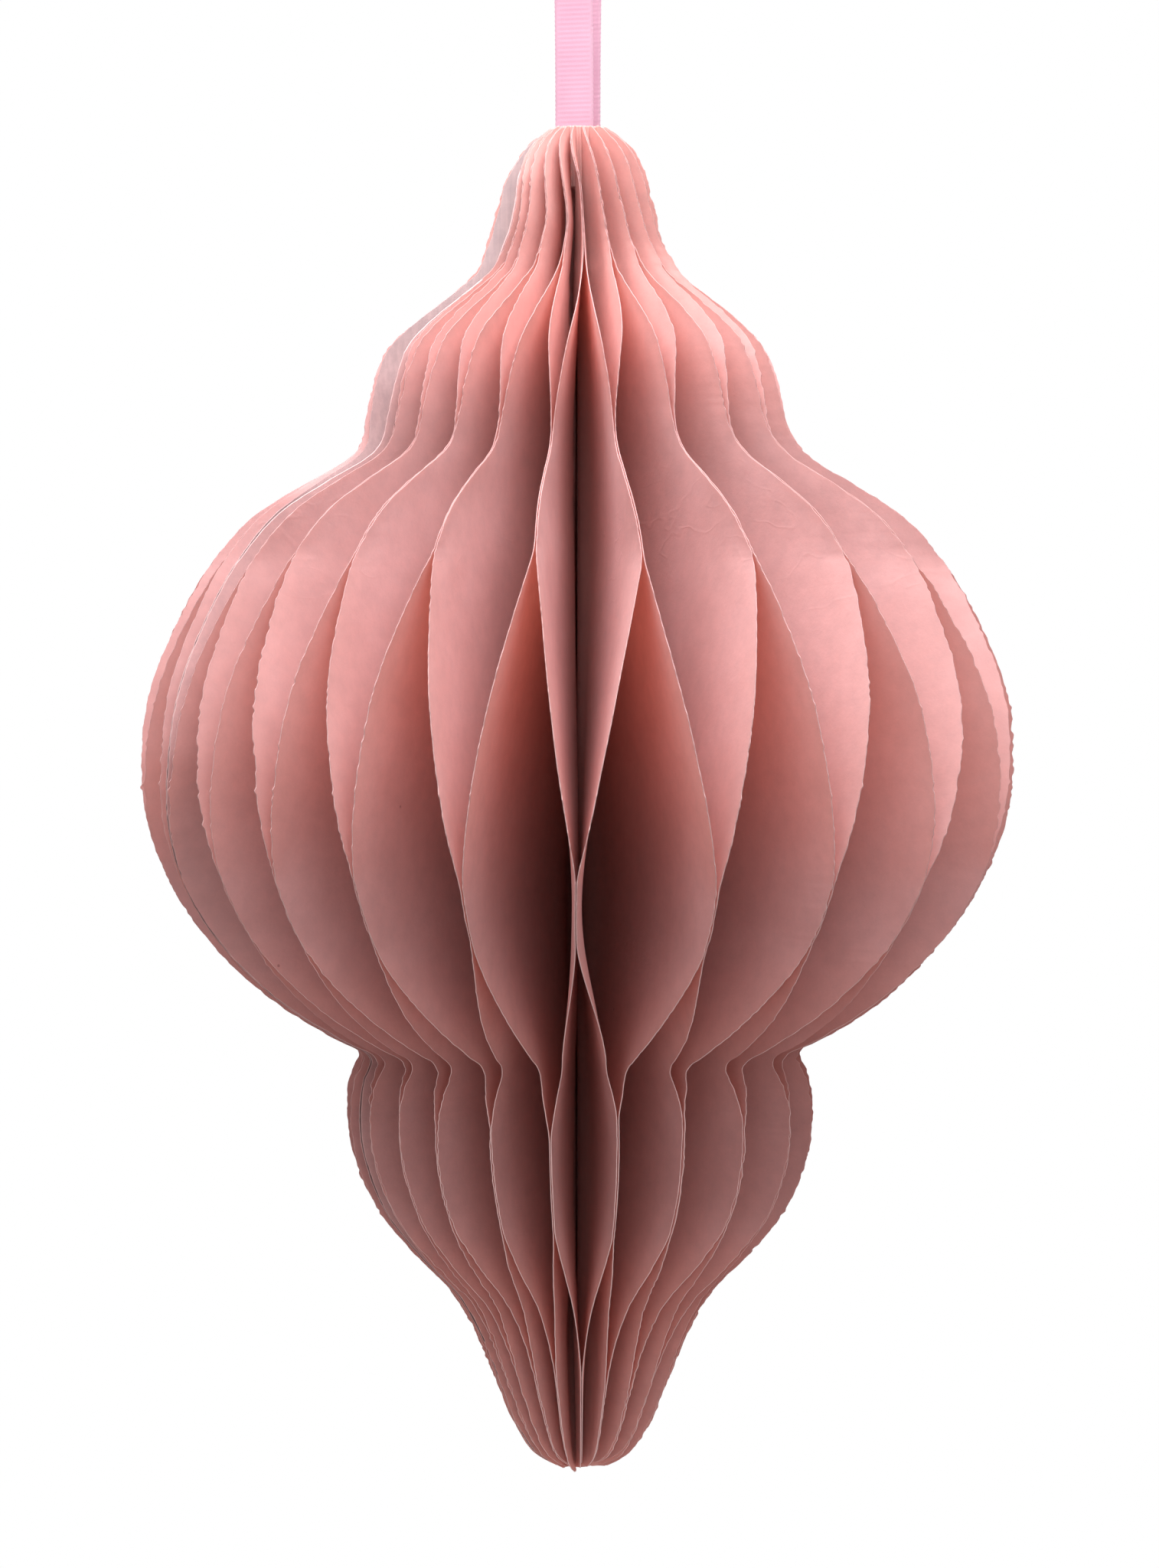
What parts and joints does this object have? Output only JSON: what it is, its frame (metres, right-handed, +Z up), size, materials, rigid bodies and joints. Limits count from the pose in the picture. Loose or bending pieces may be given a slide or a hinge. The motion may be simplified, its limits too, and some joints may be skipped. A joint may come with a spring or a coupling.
{
  "type": "paper lantern",
  "caption": "Hanging honeycomb paper lantern with a turned outline, hinged paper leaves between card covers and a ribbon loop.",
  "frame": {"origin": "the hanging point, inside the top of the ribbon loop and on the lantern's axis", "axes": "+Z up along the lantern's axis, towards the ribbon; -Y towards the viewer of the front; +X to the viewer's right"},
  "size_m": [0.1369, 0.137, 0.2579],
  "materials": {
    "leaf_paper": "matt pink coloured paper, fibrous, die-cut edges lighter",
    "cover_card": "matt greyish pink card",
    "core_paper": "rolled paper with dry glue",
    "ribbon": "pale pink grosgrain ribbon with cross ribs, slight sheen",
    "sticky_dot": "white double-sided adhesive foam"
  },
  "bodies": {
    "first_leaf": {"leaf_01": "leaf_paper", "front_cover": "cover_card", "spine_core": "core_paper", "ribbon_loop": "ribbon"},
    "glued_pair_01": {"leaf_02": "leaf_paper"},
    "glued_pair_02": {"leaf_03": "leaf_paper"},
    "glued_pair_03": {"leaf_04": "leaf_paper"},
    "glued_pair_04": {"leaf_05": "leaf_paper"},
    "glued_pair_05": {"leaf_06": "leaf_paper"},
    "glued_pair_06": {"leaf_07": "leaf_paper"},
    "glued_pair_07": {"leaf_08": "leaf_paper"},
    "glued_pair_08": {"leaf_09": "leaf_paper"},
    "glued_pair_09": {"leaf_10": "leaf_paper"},
    "glued_pair_10": {"leaf_11": "leaf_paper"},
    "glued_pair_11": {"leaf_12": "leaf_paper"},
    "glued_pair_12": {"leaf_13": "leaf_paper"},
    "glued_pair_13": {"leaf_14": "leaf_paper"},
    "glued_pair_14": {"leaf_15": "leaf_paper"},
    "glued_pair_15": {"leaf_16": "leaf_paper"},
    "glued_pair_16": {"leaf_17": "leaf_paper"},
    "glued_pair_17": {"leaf_18": "leaf_paper"},
    "glued_pair_18": {"leaf_19": "leaf_paper"},
    "glued_pair_19": {"leaf_20": "leaf_paper"},
    "glued_pair_20": {"leaf_21": "leaf_paper"},
    "glued_pair_21": {"leaf_22": "leaf_paper"},
    "glued_pair_22": {"leaf_23": "leaf_paper"},
    "glued_pair_23": {"leaf_24": "leaf_paper"},
    "glued_pair_24": {"leaf_25": "leaf_paper"},
    "glued_pair_25": {"leaf_26": "leaf_paper"},
    "glued_pair_26": {"leaf_27": "leaf_paper"},
    "glued_pair_27": {"leaf_28": "leaf_paper"},
    "glued_pair_28": {"leaf_29": "leaf_paper"},
    "glued_pair_29": {"leaf_30": "leaf_paper"},
    "glued_pair_30": {"leaf_31": "leaf_paper"},
    "glued_pair_31": {"leaf_32": "leaf_paper"},
    "glued_pair_32": {"leaf_33": "leaf_paper"},
    "glued_pair_33": {"leaf_34": "leaf_paper"},
    "glued_pair_34": {"leaf_35": "leaf_paper"},
    "glued_pair_35": {"leaf_36": "leaf_paper"},
    "glued_pair_36": {"leaf_37": "leaf_paper"},
    "glued_pair_37": {"leaf_38": "leaf_paper"},
    "glued_pair_38": {"leaf_39": "leaf_paper"},
    "glued_pair_39": {"leaf_40": "leaf_paper"},
    "glued_pair_40": {"leaf_41": "leaf_paper"},
    "glued_pair_41": {"leaf_42": "leaf_paper"},
    "glued_pair_42": {"leaf_43": "leaf_paper"},
    "glued_pair_43": {"leaf_44": "leaf_paper"},
    "last_cover": {"back_cover": "cover_card", "closure_dot_middle": "sticky_dot", "closure_dot_lower": "sticky_dot"}
  },
  "joints": [
    {"name": "fold", "type": "hinge", "parent": "first_leaf", "child": "glued_pair_01", "pos_m": [-0.00256, -0.00209, -0.1528], "axis": [0, 0, 1], "range_deg": [-6.22, 0]},
    {"name": "fold_02", "type": "hinge", "parent": "glued_pair_01", "child": "glued_pair_02", "pos_m": [-0.00233, -0.00234, -0.1528], "axis": [0, 0, 1], "range_deg": [-6.26, 0]},
    {"name": "fold_03", "type": "hinge", "parent": "glued_pair_02", "child": "glued_pair_03", "pos_m": [-0.00208, -0.00256, -0.1528], "axis": [0, 0, 1], "range_deg": [-6.34, 0]},
    {"name": "fold_04", "type": "hinge", "parent": "glued_pair_03", "child": "glued_pair_04", "pos_m": [-0.0018, -0.00277, -0.1528], "axis": [0, 0, 1], "range_deg": [-6.45, 0]},
    {"name": "fold_05", "type": "hinge", "parent": "glued_pair_04", "child": "glued_pair_05", "pos_m": [-0.00149, -0.00294, -0.1528], "axis": [0, 0, 1], "range_deg": [-6.61, 0]},
    {"name": "fold_06", "type": "hinge", "parent": "glued_pair_05", "child": "glued_pair_06", "pos_m": [-0.00116, -0.00309, -0.1528], "axis": [0, 0, 1], "range_deg": [-6.79, 0]},
    {"name": "fold_07", "type": "hinge", "parent": "glued_pair_06", "child": "glued_pair_07", "pos_m": [-0.0008, -0.0032, -0.1528], "axis": [0, 0, 1], "range_deg": [-7, 0]},
    {"name": "fold_08", "type": "hinge", "parent": "glued_pair_07", "child": "glued_pair_08", "pos_m": [-0.00042, -0.00327, -0.1528], "axis": [0, 0, 1], "range_deg": [-7.24, 0]},
    {"name": "fold_09", "type": "hinge", "parent": "glued_pair_08", "child": "glued_pair_09", "pos_m": [-0.00002, -0.0033, -0.1528], "axis": [0, 0, 1], "range_deg": [-7.49, 0]},
    {"name": "fold_10", "type": "hinge", "parent": "glued_pair_09", "child": "glued_pair_10", "pos_m": [0.0004, -0.00328, -0.1528], "axis": [0, 0, 1], "range_deg": [-7.76, 0]},
    {"name": "fold_11", "type": "hinge", "parent": "glued_pair_10", "child": "glued_pair_11", "pos_m": [0.00082, -0.0032, -0.1528], "axis": [0, 0, 1], "range_deg": [-8.04, 0]},
    {"name": "fold_12", "type": "hinge", "parent": "glued_pair_11", "child": "glued_pair_12", "pos_m": [0.00125, -0.00305, -0.1528], "axis": [0, 0, 1], "range_deg": [-8.32, 0]},
    {"name": "fold_13", "type": "hinge", "parent": "glued_pair_12", "child": "glued_pair_13", "pos_m": [0.00166, -0.00285, -0.1528], "axis": [0, 0, 1], "range_deg": [-8.6, 0]},
    {"name": "fold_14", "type": "hinge", "parent": "glued_pair_13", "child": "glued_pair_14", "pos_m": [0.00205, -0.00258, -0.1528], "axis": [0, 0, 1], "range_deg": [-8.87, 0]},
    {"name": "fold_15", "type": "hinge", "parent": "glued_pair_14", "child": "glued_pair_15", "pos_m": [0.00241, -0.00225, -0.1528], "axis": [0, 0, 1], "range_deg": [-9.13, 0]},
    {"name": "fold_16", "type": "hinge", "parent": "glued_pair_15", "child": "glued_pair_16", "pos_m": [0.00273, -0.00186, -0.1528], "axis": [0, 0, 1], "range_deg": [-9.36, 0]},
    {"name": "fold_17", "type": "hinge", "parent": "glued_pair_16", "child": "glued_pair_17", "pos_m": [0.00298, -0.00141, -0.1528], "axis": [0, 0, 1], "range_deg": [-9.57, 0]},
    {"name": "fold_18", "type": "hinge", "parent": "glued_pair_17", "child": "glued_pair_18", "pos_m": [0.00317, -0.00092, -0.1528], "axis": [0, 0, 1], "range_deg": [-9.76, 0]},
    {"name": "fold_19", "type": "hinge", "parent": "glued_pair_18", "child": "glued_pair_19", "pos_m": [0.00328, -0.0004, -0.1528], "axis": [0, 0, 1], "range_deg": [-9.91, 0]},
    {"name": "fold_20", "type": "hinge", "parent": "glued_pair_19", "child": "glued_pair_20", "pos_m": [0.0033, 0.00013, -0.1528], "axis": [0, 0, 1], "range_deg": [-10.03, 0]},
    {"name": "fold_21", "type": "hinge", "parent": "glued_pair_20", "child": "glued_pair_21", "pos_m": [0.00323, 0.00067, -0.1528], "axis": [0, 0, 1], "range_deg": [-10.11, 0]},
    {"name": "fold_22", "type": "hinge", "parent": "glued_pair_21", "child": "glued_pair_22", "pos_m": [0.00308, 0.00119, -0.1528], "axis": [0, 0, 1], "range_deg": [-10.15, 0]},
    {"name": "fold_23", "type": "hinge", "parent": "glued_pair_22", "child": "glued_pair_23", "pos_m": [0.00284, 0.00168, -0.1528], "axis": [0, 0, 1], "range_deg": [-10.15, 0]},
    {"name": "fold_24", "type": "hinge", "parent": "glued_pair_23", "child": "glued_pair_24", "pos_m": [0.00253, 0.00212, -0.1528], "axis": [0, 0, 1], "range_deg": [-10.11, 0]},
    {"name": "fold_25", "type": "hinge", "parent": "glued_pair_24", "child": "glued_pair_25", "pos_m": [0.00215, 0.00251, -0.1528], "axis": [0, 0, 1], "range_deg": [-10.03, 0]},
    {"name": "fold_26", "type": "hinge", "parent": "glued_pair_25", "child": "glued_pair_26", "pos_m": [0.00172, 0.00282, -0.1528], "axis": [0, 0, 1], "range_deg": [-9.91, 0]},
    {"name": "fold_27", "type": "hinge", "parent": "glued_pair_26", "child": "glued_pair_27", "pos_m": [0.00125, 0.00305, -0.1528], "axis": [0, 0, 1], "range_deg": [-9.76, 0]},
    {"name": "fold_28", "type": "hinge", "parent": "glued_pair_27", "child": "glued_pair_28", "pos_m": [0.00076, 0.00321, -0.1528], "axis": [0, 0, 1], "range_deg": [-9.57, 0]},
    {"name": "fold_29", "type": "hinge", "parent": "glued_pair_28", "child": "glued_pair_29", "pos_m": [0.00026, 0.00329, -0.1528], "axis": [0, 0, 1], "range_deg": [-9.36, 0]},
    {"name": "fold_30", "type": "hinge", "parent": "glued_pair_29", "child": "glued_pair_30", "pos_m": [-0.00022, 0.00329, -0.1528], "axis": [0, 0, 1], "range_deg": [-9.13, 0]},
    {"name": "fold_31", "type": "hinge", "parent": "glued_pair_30", "child": "glued_pair_31", "pos_m": [-0.0007, 0.00323, -0.1528], "axis": [0, 0, 1], "range_deg": [-8.87, 0]},
    {"name": "fold_32", "type": "hinge", "parent": "glued_pair_31", "child": "glued_pair_32", "pos_m": [-0.00114, 0.0031, -0.1528], "axis": [0, 0, 1], "range_deg": [-8.6, 0]},
    {"name": "fold_33", "type": "hinge", "parent": "glued_pair_32", "child": "glued_pair_33", "pos_m": [-0.00155, 0.00292, -0.1528], "axis": [0, 0, 1], "range_deg": [-8.32, 0]},
    {"name": "fold_34", "type": "hinge", "parent": "glued_pair_33", "child": "glued_pair_34", "pos_m": [-0.00191, 0.00269, -0.1528], "axis": [0, 0, 1], "range_deg": [-8.04, 0]},
    {"name": "fold_35", "type": "hinge", "parent": "glued_pair_34", "child": "glued_pair_35", "pos_m": [-0.00224, 0.00243, -0.1528], "axis": [0, 0, 1], "range_deg": [-7.76, 0]},
    {"name": "fold_36", "type": "hinge", "parent": "glued_pair_35", "child": "glued_pair_36", "pos_m": [-0.00251, 0.00214, -0.1528], "axis": [0, 0, 1], "range_deg": [-7.49, 0]},
    {"name": "fold_37", "type": "hinge", "parent": "glued_pair_36", "child": "glued_pair_37", "pos_m": [-0.00275, 0.00183, -0.1528], "axis": [0, 0, 1], "range_deg": [-7.24, 0]},
    {"name": "fold_38", "type": "hinge", "parent": "glued_pair_37", "child": "glued_pair_38", "pos_m": [-0.00294, 0.0015, -0.1528], "axis": [0, 0, 1], "range_deg": [-7, 0]},
    {"name": "fold_39", "type": "hinge", "parent": "glued_pair_38", "child": "glued_pair_39", "pos_m": [-0.00309, 0.00117, -0.1528], "axis": [0, 0, 1], "range_deg": [-6.79, 0]},
    {"name": "fold_40", "type": "hinge", "parent": "glued_pair_39", "child": "glued_pair_40", "pos_m": [-0.00319, 0.00083, -0.1528], "axis": [0, 0, 1], "range_deg": [-6.61, 0]},
    {"name": "fold_41", "type": "hinge", "parent": "glued_pair_40", "child": "glued_pair_41", "pos_m": [-0.00326, 0.00049, -0.1528], "axis": [0, 0, 1], "range_deg": [-6.45, 0]},
    {"name": "fold_42", "type": "hinge", "parent": "glued_pair_41", "child": "glued_pair_42", "pos_m": [-0.0033, 0.00015, -0.1528], "axis": [0, 0, 1], "range_deg": [-6.34, 0]},
    {"name": "fold_43", "type": "hinge", "parent": "glued_pair_42", "child": "glued_pair_43", "pos_m": [-0.0033, -0.00018, -0.1528], "axis": [0, 0, 1], "range_deg": [-6.26, 0]},
    {"name": "fold_44", "type": "hinge", "parent": "glued_pair_43", "child": "last_cover", "pos_m": [-0.00326, -0.00051, -0.1528], "axis": [0, 0, 1], "range_deg": [-6.22, 0]}
  ],
  "couplings": [
    {"joint": "fold_02", "follows": "fold", "ratio": 1.0064},
    {"joint": "fold_03", "follows": "fold", "ratio": 1.0192},
    {"joint": "fold_04", "follows": "fold", "ratio": 1.0379},
    {"joint": "fold_05", "follows": "fold", "ratio": 1.0624},
    {"joint": "fold_06", "follows": "fold", "ratio": 1.0919},
    {"joint": "fold_07", "follows": "fold", "ratio": 1.1261},
    {"joint": "fold_08", "follows": "fold", "ratio": 1.1641},
    {"joint": "fold_09", "follows": "fold", "ratio": 1.2052},
    {"joint": "fold_10", "follows": "fold", "ratio": 1.2485},
    {"joint": "fold_11", "follows": "fold", "ratio": 1.2933},
    {"joint": "fold_12", "follows": "fold", "ratio": 1.3384},
    {"joint": "fold_13", "follows": "fold", "ratio": 1.3832},
    {"joint": "fold_14", "follows": "fold", "ratio": 1.4265},
    {"joint": "fold_15", "follows": "fold", "ratio": 1.4676},
    {"joint": "fold_16", "follows": "fold", "ratio": 1.5056},
    {"joint": "fold_17", "follows": "fold", "ratio": 1.5398},
    {"joint": "fold_18", "follows": "fold", "ratio": 1.5694},
    {"joint": "fold_19", "follows": "fold", "ratio": 1.5938},
    {"joint": "fold_20", "follows": "fold", "ratio": 1.6126},
    {"joint": "fold_21", "follows": "fold", "ratio": 1.6253},
    {"joint": "fold_22", "follows": "fold", "ratio": 1.6317},
    {"joint": "fold_23", "follows": "fold", "ratio": 1.6317},
    {"joint": "fold_24", "follows": "fold", "ratio": 1.6253},
    {"joint": "fold_25", "follows": "fold", "ratio": 1.6126},
    {"joint": "fold_26", "follows": "fold", "ratio": 1.5938},
    {"joint": "fold_27", "follows": "fold", "ratio": 1.5694},
    {"joint": "fold_28", "follows": "fold", "ratio": 1.5398},
    {"joint": "fold_29", "follows": "fold", "ratio": 1.5056},
    {"joint": "fold_30", "follows": "fold", "ratio": 1.4676},
    {"joint": "fold_31", "follows": "fold", "ratio": 1.4265},
    {"joint": "fold_32", "follows": "fold", "ratio": 1.3832},
    {"joint": "fold_33", "follows": "fold", "ratio": 1.3384},
    {"joint": "fold_34", "follows": "fold", "ratio": 1.2933},
    {"joint": "fold_35", "follows": "fold", "ratio": 1.2485},
    {"joint": "fold_36", "follows": "fold", "ratio": 1.2052},
    {"joint": "fold_37", "follows": "fold", "ratio": 1.1641},
    {"joint": "fold_38", "follows": "fold", "ratio": 1.1261},
    {"joint": "fold_39", "follows": "fold", "ratio": 1.0919},
    {"joint": "fold_40", "follows": "fold", "ratio": 1.0624},
    {"joint": "fold_41", "follows": "fold", "ratio": 1.0379},
    {"joint": "fold_42", "follows": "fold", "ratio": 1.0192},
    {"joint": "fold_43", "follows": "fold", "ratio": 1.0064},
    {"joint": "fold_44", "follows": "fold", "ratio": 1}
  ]
}
